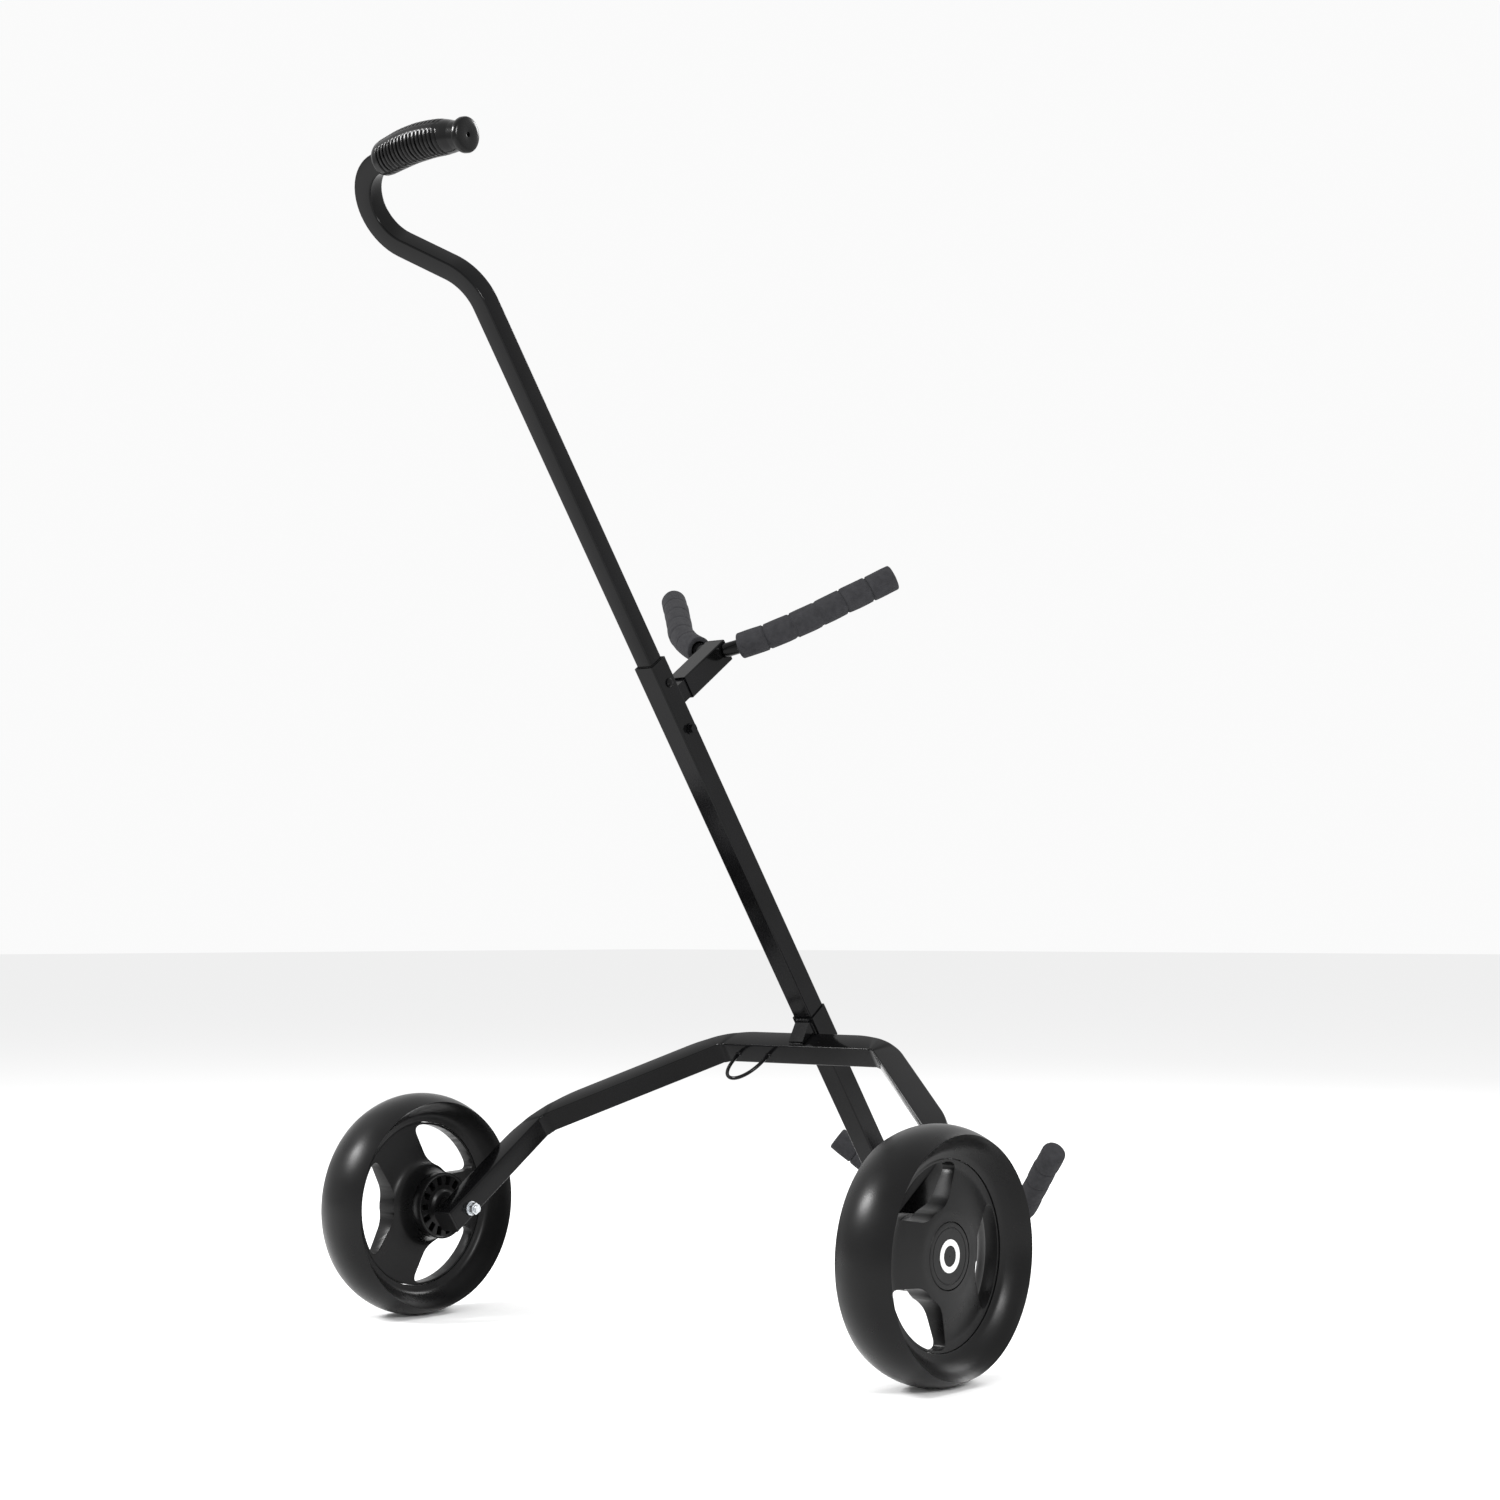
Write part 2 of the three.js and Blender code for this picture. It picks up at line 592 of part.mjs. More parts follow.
// Bends a solid that lies along X down towards its ends, as the tube bends under the grip.
function bowed(geometry) {
  const place = geometry.getAttribute("position");
  const arc = GRIP_BOW * Math.tan(GRIP_RISE); // half the bow's length, and straight beyond it
  for (let i = 0; i < place.count; i++) {
    const away = Math.abs(place.getX(i) - GRIP_MIDDLE);
    const beyond = Math.max(0, away - arc);
    const drop = (away - beyond) ** 2 / (2 * GRIP_BOW) + beyond * Math.tan(GRIP_RISE);
    place.setZ(i, place.getZ(i) + GRIP_TOP - drop);
  }
  return geometry;
}

function makeHandle() {
  const handle = new THREE.Group();
  const half = HANDLE_TUBE / 2;
  const heading = Math.PI / 2 + SWAN_TURN;
  const bowPeak = GRIP_TOP + GRIP_BOW * (1 / Math.cos(GRIP_RISE) - 1);
  const tubeTip = GRIP_MIDDLE + 39;
  const bow = { inside: GRIP_BOW - half, outside: GRIP_BOW + half };
  const corners = [
    { x: 0, y: HANDLE_FOOT },
    { x: 0, y: SWAN_START, inside: SWAN_RADIUS - half, outside: SWAN_RADIUS + half },
    {
      x: SWAN_RUN * Math.cos(heading),
      y: SWAN_START + SWAN_RUN * Math.sin(heading),
      inside: CROOK_RADIUS - half,
      outside: CROOK_RADIUS + half,
    },
    { x: GRIP_MIDDLE, y: bowPeak, ...bow },
    { x: tubeTip, y: bowPeak - (tubeTip - GRIP_MIDDLE) * Math.tan(GRIP_RISE) },
  ];
  const tube = bentTube(corners, HANDLE_TUBE, HANDLE_WALL, 1.5).rotateX(Math.PI / 2);
  handle.add(mesh("handle_tube", tube, PAINT));

  const inner = HANDLE_TUBE - 2 * HANDLE_WALL - 2 * GAP;
  const plug = join(
    squareBar(HANDLE_TUBE, HANDLE_TUBE, 1.5, HANDLE_FOOT - 6, HANDLE_FOOT - GAP),
    squareBar(inner, inner, 1, HANDLE_FOOT - 3, HANDLE_FOOT + 12),
  );
  handle.add(mesh("handle_tube_end_plug", plug, BLACK_PLASTIC));

  const body = [
    [0, GRIP_FROM],
    [16.6, GRIP_FROM],
    [17.4, GRIP_FROM + 7],
    [18.6, GRIP_MIDDLE - 30],
    [18.8, GRIP_MIDDLE],
    [18, GRIP_MIDDLE + 28],
    [17, GRIP_MIDDLE + 42],
    [14.8, GRIP_TO - 5],
    [14.4, GRIP_TO],
    [0, GRIP_TO],
  ];
  const fit = 2 * (half + 1.1);
  const [socketFrom, socketTo] = [GRIP_FROM - 9, tubeTip + 2];
  const socket = new THREE.BoxGeometry(socketTo - socketFrom, fit, fit, 14, 1, 1);
  socket.translate((socketFrom + socketTo) / 2, 0, 0);
  const disc = [
    [0, GRIP_TO + GAP],
    [GRIP_END_RADIUS - 2, GRIP_TO + GAP],
    [GRIP_END_RADIUS, GRIP_TO + 2.5],
    [GRIP_END_RADIUS, GRIP_TO + 6],
    [GRIP_END_RADIUS - 3, GRIP_TO + 8.5],
    [1.6, GRIP_TO + 9],
    [1.6, GRIP_TO + 5],
    [0, GRIP_TO + 5],
  ];
  handle.add(
    mesh("handle_grip", cut(bowed(turned(body, 24)), bowed(socket)), GRIP_PLASTIC),
    mesh("handle_grip_end", bowed(turned(disc, 24)), GRIP_PLASTIC),
  );
  return handle;
}

// ---- assembly -----------------------------------------------------------------------------------

makeSpine();
makeScrews();
makeCollar();
makeAxleFrame();
makeHangingLoop();
spine.add(
  makeCradle("upper", UPPER_CRADLE),
  makeCradle("lower", LOWER_CRADLE),
  makeHandle(),
);

const trolley = new THREE.Group();
trolley.add(spine);
for (const [name, side] of [["left", -1], ["right", 1]]) {
  trolley.add(makeWheel(name, side), makeAxle(name, side));
}

// The origin is on the floor, under the middle of the whole trolley's box.
trolley.updateMatrixWorld(true);
const middle = new THREE.Box3().setFromObject(trolley, true).getCenter(new THREE.Vector3());
trolley.position.set(-middle.x, -middle.y, 0);

export default trolley;
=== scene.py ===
"""Golf push trolley: materials, smooth tubes, foam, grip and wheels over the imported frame."""
import json
import math

import bpy
from mathutils import Matrix, Vector


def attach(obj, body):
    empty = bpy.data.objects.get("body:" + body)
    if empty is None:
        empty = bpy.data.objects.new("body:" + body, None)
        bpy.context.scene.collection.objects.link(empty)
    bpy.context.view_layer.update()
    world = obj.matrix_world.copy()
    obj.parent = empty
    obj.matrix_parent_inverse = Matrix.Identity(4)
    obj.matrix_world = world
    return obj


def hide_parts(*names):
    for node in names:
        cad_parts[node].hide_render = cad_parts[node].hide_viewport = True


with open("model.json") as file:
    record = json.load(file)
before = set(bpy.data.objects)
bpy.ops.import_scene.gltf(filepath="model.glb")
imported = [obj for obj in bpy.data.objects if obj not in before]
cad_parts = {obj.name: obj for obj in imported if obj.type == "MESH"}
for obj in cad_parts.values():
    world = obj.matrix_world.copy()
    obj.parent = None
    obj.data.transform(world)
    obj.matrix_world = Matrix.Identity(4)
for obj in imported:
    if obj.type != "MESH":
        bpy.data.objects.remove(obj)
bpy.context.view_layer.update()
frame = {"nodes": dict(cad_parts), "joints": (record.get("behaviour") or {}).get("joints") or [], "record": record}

MM = 0.001
AXLE = Vector(next(j for j in frame["joints"] if j["name"] == "wheel_right_spin")["pos_m"])
LEAN = math.radians(35.7)  # of the spine, back from upright
AXLE_TO_SPINE = 417 * MM
# The spine's own frame: X across, Y ahead of its axis, Z up along it.
SPINE = Matrix.Translation((0, AXLE.y + AXLE_TO_SPINE, AXLE.z)) @ Matrix.Rotation(LEAN, 4, "X")
TUBE = 25.6  # across the flats of the main tube and the axle frame
EDGE = 1.9  # radius of a square tube's corners


# ---- materials -----------------------------------------------------------------------------------

NOISE_LOW, NOISE_HIGH = 0.3, 0.7  # most of a noise texture's values lie between these


def material(name, colour, roughness, metallic=0.0, specular=0.5):
    """A new material and its shader, with uniform values to start from."""
    made = bpy.data.materials.new(name)
    made.use_nodes = True
    shader = made.node_tree.nodes["Principled BSDF"]
    shader.inputs["Base Color"].default_value = (*colour, 1)
    shader.inputs["Roughness"].default_value = roughness
    shader.inputs["Metallic"].default_value = metallic
    shader.inputs["Specular IOR Level"].default_value = specular
    return made, shader


def noise(made, scale, detail=4.0):
    nodes, links = made.node_tree.nodes, made.node_tree.links
    place = nodes.new("ShaderNodeTexCoord")
    texture = nodes.new("ShaderNodeTexNoise")
    texture.inputs["Scale"].default_value = scale
    texture.inputs["Detail"].default_value = detail
    links.new(place.outputs["Object"], texture.inputs["Vector"])
    return texture


def vary(made, shader, socket, texture, low_value, high_value):
    """Drives a socket between two values, or two colours, with a texture."""
    nodes, links = made.node_tree.nodes, made.node_tree.links
    if isinstance(low_value, tuple):
        ramp = nodes.new("ShaderNodeValToRGB")
        low_end, high_end = ramp.color_ramp.elements
        low_end.position, high_end.position = NOISE_LOW, NOISE_HIGH
        low_end.color = (*low_value, 1)
        high_end.color = (*high_value, 1)
        links.new(texture.outputs["Fac"], ramp.inputs["Fac"])
        links.new(ramp.outputs["Color"], shader.inputs[socket])
        return
    scaled = nodes.new("ShaderNodeMapRange")
    scaled.inputs["From Min"].default_value = NOISE_LOW
    scaled.inputs["From Max"].default_value = NOISE_HIGH
    scaled.inputs["To Min"].default_value = low_value
    scaled.inputs["To Max"].default_value = high_value
    links.new(texture.outputs["Fac"], scaled.inputs["Value"])
    links.new(scaled.outputs["Result"], shader.inputs[socket])


def bumpy(made, shader, texture, strength, distance):
    nodes, links = made.node_tree.nodes, made.node_tree.links
    bump = nodes.new("ShaderNodeBump")
    bump.inputs["Strength"].default_value = strength
    bump.inputs["Distance"].default_value = distance
    links.new(texture.outputs["Fac"], bump.inputs["Height"])
    links.new(bump.outputs["Normal"], shader.inputs["Normal"])


def make_paint():
    made, shader = material("black_powder_coat", (0.003, 0.003, 0.003), 0.12, specular=0.13)
    bumpy(made, shader, noise(made, 380, 2), 0.08, 0.0003)
    vary(made, shader, "Roughness", noise(made, 18), 0.1, 0.2)
    vary(made, shader, "Base Color", noise(made, 9), (0.002, 0.002, 0.002), (0.0045, 0.0045, 0.005))
    return made


def make_plastic(name, shade, roughness):
    made, shader = material(name, (shade, shade, shade * 1.03), roughness, specular=0.16)
    bumpy(made, shader, noise(made, 900, 3), 0.18, 0.0003)
    vary(made, shader, "Roughness", noise(made, 25), roughness - 0.05, roughness + 0.07)
    darker = (shade * 0.85, shade * 0.85, shade * 0.87)
    lighter = (shade * 1.15, shade * 1.15, shade * 1.2)
    vary(made, shader, "Base Color", noise(made, 12), darker, lighter)
    return made


def make_foam():
    made, shader = material("charcoal_foam", (0.024, 0.024, 0.026), 0.95, specular=0.15)
    bumpy(made, shader, noise(made, 1100, 6), 0.5, 0.0006)
    vary(made, shader, "Base Color", noise(made, 170, 5), (0.021, 0.021, 0.023), (0.029, 0.029, 0.0315))
    return made


def make_zinc():
    made, shader = material("zinc_plate", (0.62, 0.64, 0.66), 0.3, metallic=1.0)
    vary(made, shader, "Roughness", noise(made, 300), 0.2, 0.42)
    bumpy(made, shader, noise(made, 700, 3), 0.2, 0.0003)
    return made


def make_emblem():
    made, shader = material("pale_print", (0.7, 0.7, 0.69), 0.5)
    vary(made, shader, "Base Color", noise(made, 500), (0.6, 0.6, 0.6), (0.76, 0.76, 0.75))
    return made


BY_SLOT = {
    "black_paint": make_paint(),
    "black_plastic": make_plastic("black_plastic", 0.006, 0.36),
    "wheel_plastic": make_plastic("wheel_plastic", 0.004, 0.3),
    "grip_plastic": make_plastic("grip_plastic", 0.004, 0.2),
    "foam": make_foam(),
    "zinc": make_zinc(),
    "emblem": make_emblem(),
}


# ---- meshes --------------------------------------------------------------------------------------

def piece(name, points, faces, matrix, slot, body, sharp=38):
    """A mesh from points in millimetres in a local frame, placed in the row frame."""
    mesh = bpy.data.meshes.new(name)
    mesh.from_pydata([matrix @ (Vector(p) * MM) for p in points], [], faces)
    mesh.validate()
    made = bpy.data.objects.new(name, mesh)
    bpy.context.scene.collection.objects.link(made)
    finish_piece(made, slot, body, sharp)
    return made


def finish_piece(made, slot, body, sharp):
    mesh = made.data
    bpy.context.view_layer.objects.active = made
    bpy.ops.object.select_all(action="DESELECT")
    made.select_set(True)
    bpy.ops.object.mode_set(mode="EDIT")
    bpy.ops.mesh.select_all(action="SELECT")
    bpy.ops.mesh.normals_make_consistent(inside=False)
    bpy.ops.object.mode_set(mode="OBJECT")
    mesh.shade_smooth()
    mesh.set_sharp_from_angle(angle=math.radians(sharp))
    mesh.materials.clear()
    mesh.materials.append(BY_SLOT[slot])
    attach(made, body)


def skin(rings, closed=False):
    """Quads between rings of points of one length, with flat ends unless the rings close."""
    count = len(rings[0])
    points = [p for ring in rings for p in ring]
    faces = []
    pairs = len(rings) if closed else len(rings) - 1
    for i in range(pairs):
        a, b = i * count, ((i + 1) % len(rings)) * count
        for k in range(count):
            n = (k + 1) % count
            faces.append((a + k, a + n, b + n, b + k))
    if not closed:
        faces.append(tuple(reversed(range(count))))
        faces.append(tuple(range(len(points) - count, len(points))))
    return points, faces


def rounded_rectangle(half_width, half_depth, edge, steps=5):
    """The outline of a rectangle whose corners have the radius edge."""
    loop = []
    for quarter, (sx, sy) in enumerate([(1, 1), (-1, 1), (-1, -1), (1, -1)]):
        for k in range(steps + 1):
            angle = math.pi / 2 * (quarter + k / steps)
            x = sx * (half_width - edge) + edge * math.cos(angle)
            y = sy * (half_depth - edge) + edge * math.sin(angle)
            loop.append((x, y))
    return loop


def offset_line(corners, offset, steps=22):
    """A line beside a centre line, to its left for a positive offset, with its bends rounded.

    A corner is (x, y, inside, outside): the last two are the radii on the two sides of the bend.
    """
    line = []
    for i, corner in enumerate(corners):
        here = Vector(corner[:2])
        into = (here - Vector(corners[i - 1][:2])).normalized() if i else None
        out = (Vector(corners[i + 1][:2]) - here).normalized() if i < len(corners) - 1 else None
        into, out = into or out, out or into
        turn = math.atan2(into.x * out.y - into.y * out.x, into.dot(out))
        middle = (into + out).normalized()
        at = here + Vector((-middle.y, middle.x)) * offset / math.cos(turn / 2)
        if abs(turn) < 1e-6:
            line.append(at)
            continue
        radius = corner[2] if (turn > 0) == (offset > 0) else corner[3]
        start = at - into * radius * math.tan(abs(turn) / 2)
        sign = 1 if turn > 0 else -1
        centre = start + Vector((-into.y, into.x)) * sign * radius
        for k in range(steps + 1):
            arm = start - centre
            arm.rotate(Matrix.Rotation(turn * k / steps, 2))
            line.append(centre + arm)
    return line


BULGE_SHARE, MOST_BULGE = 0.25, 0.6  # how much of what a bend loses in width it gains in depth


def bent_tube(name, corners, size, matrix, slot, body):
    """A square tube bent in its own plane, narrowing where the inside of a bend is crushed."""
    left, right = offset_line(corners, size / 2), offset_line(corners, -size / 2)
    rings = []
    for a, b in zip(left, right):
        middle, across = (a + b) / 2, (a - b)
        half = across.length / 2
        across.normalize()
        bulge = min(BULGE_SHARE * max(0, size / 2 - half), MOST_BULGE)
        section = rounded_rectangle(half, size / 2 + bulge, EDGE)
        rings.append([(*(middle + across * u), v) for u, v in section])
    return piece(name, *skin(rings), matrix, slot, body)


def round_rod(name, line, radii, matrix, slot, body, sides=20, sharp=50):
    """A round bar along a line of points, with a radius at each, and flat ends."""
    rings = []
    side = None
    circle = [2 * math.pi * k / sides for k in range(sides)]
    for i, (at, radius) in enumerate(zip(line, radii)):
        ahead = Vector(line[min(i + 1, len(line) - 1)]) - Vector(line[max(i - 1, 0)])
        ahead.normalize()
        if side is None:
            side = ahead.orthogonal().normalized()
        side = (side - ahead * side.dot(ahead)).normalized()
        up = ahead.cross(side)
        out = [side * math.cos(angle) + up * math.sin(angle) for angle in circle]
        rings.append([tuple(Vector(at) + way * radius) for way in out])
    return piece(name, *skin(rings), matrix, slot, body, sharp)


def smooth_line(points, per_span=6):
    """Catmull-Rom through the points, ends kept."""
    made = []
    last = len(points) - 1
    for i in range(last):
        p0, p1 = Vector(points[max(i - 1, 0)]), Vector(points[i])
        p2, p3 = Vector(points[i + 1]), Vector(points[min(i + 2, last)])
        for k in range(per_span):
            t = k / per_span
            linear = (p2 - p0) * t
            square = (2 * p0 - 5 * p1 + 4 * p2 - p3) * t**2
            cube = (3 * p1 - 3 * p2 + p3 - p0) * t**3
            made.append(0.5 * (2 * p1 + linear + square + cube))
    made.append(Vector(points[-1]))
    return [tuple(p) for p in made]


def lathe(name, profile, matrix, slot, body, sides=144, sharp=32):
    """A solid of revolution about X: a closed ring of (x, radius)."""
    rings = []
    for k in range(sides):
        angle = 2 * math.pi * k / sides
        rings.append([(x, r * math.cos(angle), r * math.sin(angle)) for x, r in profile])
    return piece(name, *skin(rings, closed=True), matrix, slot, body, sharp)


def carve(made, cutters, bevel, slot, sharp=38):
    """Cuts the cutters out, rounds the new edges and bakes the result into the mesh."""
    for cutter in cutters:
        boolean = made.modifiers.new("cut", "BOOLEAN")
        boolean.object = cutter
        boolean.operation = "DIFFERENCE"
        boolean.solver = "EXACT"
    rounding = made.modifiers.new("round", "BEVEL")
    rounding.width = bevel * MM
    rounding.segments = 3
    rounding.limit_method = "ANGLE"
    rounding.angle_limit = math.radians(50)
    rounding.use_clamp_overlap = True
    bpy.context.view_layer.update()
    shaped = made.evaluated_get(bpy.context.evaluated_depsgraph_get())
    baked = bpy.data.meshes.new_from_object(shaped)
    made.modifiers.clear()
    made.data = baked
    for cutter in cutters:
        bpy.data.objects.remove(cutter)
    baked.shade_smooth()
    baked.set_sharp_from_angle(angle=math.radians(sharp))
    baked.materials.clear()
    baked.materials.append(BY_SLOT[slot])


def bare(name, points, faces, matrix):
    """A cutter: a mesh with no material, slot or body."""
    mesh = bpy.data.meshes.new(name)
    mesh.from_pydata([matrix @ (Vector(p) * MM) for p in points], [], faces)
    made = bpy.data.objects.new(name, mesh)
    bpy.context.scene.collection.objects.link(made)
    return made


def weld(name, start, end, radius, matrix, body):
    """A short bead with the ripples that a run of weld leaves."""
    start, end = Vector(start), Vector(end)
    steps = max(8, int((end - start).length / 0.5))
    line = [tuple(start.lerp(end, k / steps)) for k in range(steps + 1)]
    radii = []
    for k in range(steps + 1):
        ends = min(1, (min(k, steps - k) + 0.5) / 4)
        radii.append(radius * math.sqrt(ends) * (1 + 0.14 * math.sin(k * 1.4)))
    round_rod(name, line, radii, matrix, "black_paint", body, sides=10)


# ---- frame ---------------------------------------------------------------------------------------

# The axle frame's own frame: X across, -Y back along the legs, Z square to the frame's plane.
FRAME_TILT = Matrix.Rotation(math.radians(-1), 4, "X")
AXLE_FRAME = SPINE @ Matrix.Translation((0, -31.7 * MM, 241 * MM)) @ FRAME_TILT
BEND = (20, 128)  # radii on the inside and the outside of its bends
SHOULDER = (115, 0, *BEND)
KNEE = (291, -152, *BEND)
LEG_END = (291, -334)
BAR_BACK = -TUBE / 2
LOOP_MIDDLE, LOOP_HALF, LOOP_REACH, LOOP_ROD = -66, 22, 44, 2.1


def make_axle_frame():
    right = [SHOULDER, KNEE, LEG_END]
    left = [(-corner[0], *corner[1:]) for corner in reversed(right)]
    tube = bent_tube("axle_frame_tube", left + right, TUBE, AXLE_FRAME, "black_paint", "frame")
    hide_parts("axle_frame")


def make_hanging_loop():
    """A thin rod bent to a U behind the crossbar, left of the spine, to hang things from."""
    height, steps = -1, 48
    line = []
    for k in range(steps + 1):
        angle = math.pi * k / steps
        back = BAR_BACK - 0.3 - LOOP_REACH * math.sin(angle) ** 0.8
        line.append((LOOP_MIDDLE - LOOP_HALF * math.cos(angle), back, height))
    radii = [LOOP_ROD] * len(line)
    rod = round_rod("hanging_loop_rod", line, radii, AXLE_FRAME, "black_paint", "frame", 16)
    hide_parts("hanging_loop")
    for side, x in (("left", LOOP_MIDDLE - LOOP_HALF), ("right", LOOP_MIDDLE + LOOP_HALF)):
        start, end = (x - 4, BAR_BACK, height), (x + 4, BAR_BACK, height)
        weld("loop_weld_" + side, start, end, 2.2, AXLE_FRAME, "frame")


def make_spine_welds():
    """Beads round the collar's gusset and above the stubs that carry the cradles."""
    across, face = 9.5, 13.4
    weld("gusset_weld_top", (-8.5, -15, 269), (10.5, -15, 269), 2.2, SPINE, "frame")
    weld("gusset_weld_bar", (-8.5, -40.5, 254.5), (10.5, -40.5, 254.5), 2.0, SPINE, "frame")
    for x, name in ((-9.2, "left"), (11.2, "right")):
        weld("gusset_weld_" + name, (x, -15.2, 266), (x, -15.2, 234), 1.5, SPINE, "frame")
    for name, cradle in CRADLES.items():
        top = cradle["height"] + across + 1
        weld(name + "_stub_weld", (-across, face, top), (across, face, top), 1.7, SPINE, "frame")


# ---- bag cradles -----------------------------------------------------------------------------------

# An arm runs straight, then on an arc that turns it ahead, then straight to its tip.
ARM_HEADING = math.radians(19)
ARM_LEAD, ARM_RADIUS, ARM_RUN = 8, 195, 105.5
ARM_TURN = math.radians(30.6)
ARM_LENGTH = ARM_LEAD + ARM_RADIUS * ARM_TURN + ARM_RUN
CRADLES = {
    "upper": {"height": 685, "ahead": 96.5, "rise": 2, "pitch": 0},
    "lower": {"height": -151, "ahead": 112, "rise": -5, "pitch": math.pi / 2},
}
ROD_RADIUS = 8
FOAM_FROM = 32
FOAM_RADIUS = 14.6
FOAM_SEGMENTS = 6
GROOVE_DEPTH, GROOVE_WIDTH = 1.8, 0.9


def arm_point(along):
    """The middle of an arm, so far along it from the middle of the trolley."""
    first = min(along, ARM_LEAD)
    turned = min(max((along - ARM_LEAD) / ARM_RADIUS, 0), ARM_TURN)
    last = max(0, along - ARM_LEAD - ARM_RADIUS * ARM_TURN)
    a, b = ARM_HEADING, ARM_HEADING + turned
    x = first * math.cos(a) + ARM_RADIUS * (math.sin(b) - math.sin(a)) + last * math.cos(b)
    y = first * math.sin(a) + ARM_RADIUS * (math.cos(a) - math.cos(b)) + last * math.sin(b)
    return x, y, 0


def foam_stations():
    """Where each ring of the sleeve lies, and its radius: a mouth, soft segments and a domed tip."""
    stations = [(FOAM_FROM + 9, 8.9), (FOAM_FROM + 1, 9.2), (FOAM_FROM, 10)]
    stations += [(FOAM_FROM, FOAM_RADIUS - 1.6), (FOAM_FROM + 0.5, FOAM_RADIUS - 0.6)]
    span = (ARM_LENGTH - FOAM_FROM) / FOAM_SEGMENTS
    steps = 110
    for k in range(steps + 1):
        along = FOAM_FROM + 1.2 + (ARM_LENGTH - FOAM_FROM - 4) * k / steps
        phase = ((along - FOAM_FROM) / span) % 1
        segment = int((along - FOAM_FROM) / span)
        groove = 0.0
        if FOAM_FROM + span / 2 < along < ARM_LENGTH - span / 2:
            nearest = min(phase, 1 - phase) * span
            groove = GROOVE_DEPTH * math.exp(-((nearest / GROOVE_WIDTH) ** 2))
        swell = 0.22 * math.sin(math.pi * phase) - 0.12 * (segment % 2)
        stations.append((along, FOAM_RADIUS - 0.25 + swell - groove))
    stations += [(ARM_LENGTH - 1.6, FOAM_RADIUS - 0.5), (ARM_LENGTH - 0.5, FOAM_RADIUS - 1.8)]
    stations += [(ARM_LENGTH - 0.1, FOAM_RADIUS - 4), (ARM_LENGTH, FOAM_RADIUS - 9)]
    return stations


def make_cradles():
    start, end, steps = TUBE / 2 + 1.2, FOAM_FROM + 12, 12
    rod = [arm_point(start + (end - start) * k / steps) for k in range(steps + 1)]
    radii = [ROD_RADIUS] * len(rod)
    stations = foam_stations()
    for name, cradle in CRADLES.items():
        middle = (0, cradle["ahead"] * MM, (cradle["height"] + cradle["rise"]) * MM)
        turned = Matrix.Translation(middle) @ Matrix.Rotation(cradle["pitch"], 4, "X")
        for side_name, side in (("left", -1), ("right", 1)):
            place = SPINE @ turned @ Matrix.Diagonal((side, 1, 1, 1))
            rod_name = f"{name}_rod_{side_name}"
            made = round_rod(rod_name, rod, radii, place, "black_paint", "frame", 28)
            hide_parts(f"{name}_arm_rod_{side_name}")
            foam = foam_sleeve(f"{name}_foam_{side_name}", stations, place)
            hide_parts(f"{name}_arm_foam_{side_name}")


def foam_sleeve(name, stations, place):
    """A slightly uneven sleeve, each segment of which has slipped a little to one side."""
    sides = 40
    rings = []
    for along, radius in stations:
        here = Vector(arm_point(along))
        ahead = (Vector(arm_point(along + 0.5)) - Vector(arm_point(along - 0.5))).normalized()
        side = Vector((-ahead.y, ahead.x, 0))
        segment = int((along - FOAM_FROM) / (ARM_LENGTH - FOAM_FROM) * FOAM_SEGMENTS)
        slip = side * 0.35 * math.sin(segment * 2.1)
        ring = []
        for k in range(sides):
            angle = 2 * math.pi * k / sides
            out = side * math.cos(angle) + Vector((0, 0, 1)) * math.sin(angle)
            soft = 0.12 * math.sin(3 * angle + along * 0.11)
            soft += 0.08 * math.sin(5 * angle - along * 0.23)
            ring.append(tuple(here + slip + out * (radius + soft)))
        rings.append(ring)
    return piece(name, *skin(rings), place, "foam", "frame", 60)


# ---- handle --------------------------------------------------------------------------------------

HANDLE_TUBE = 20.2
HANDLE_PLANE = SPINE @ Matrix.Rotation(math.pi / 2, 4, "X")
SWAN_START, SWAN_RUN = 1181, 207.5
SWAN_HEADING = math.radians(90 + 54.7)
SWAN_RADII = (55, 48)  # of the tube's middle, round its lower and upper bends
GRIP_MIDDLE, GRIP_TOP, GRIP_BOW = 14.4, 1324.5, 250
GRIP_RISE = math.radians(8)
GRIP_FROM, GRIP_TO = -48, 66
RIBS_FROM, RIBS_TO, RIBS_FADE = -40, 48, 3
RIB_PITCH, RIB_DEPTH = 5.2, 2.3
GRIP_SPINE = math.atan2(0.508, 0.842)  # round the grip to its smooth spine
GRIP_BODY = [(-48, 13), (-47.6, 15.6), (-44, 17.1), (-38, 17.8), (-15, 18.5), (14, 18.5)]
GRIP_BODY += [(42, 17.7), (52, 16.2), (59, 14.7), (66, 14.2)]
FLANGE_MIDDLE = 70.5


def bow_drop(x):
    """How far the bowed grip's middle line lies below its highest point."""
    arc = GRIP_BOW * math.tan(GRIP_RISE)
    away = abs(x - GRIP_MIDDLE)
    beyond = max(0, away - arc)
    return (away - beyond) ** 2 / (2 * GRIP_BOW) + beyond * math.tan(GRIP_RISE)


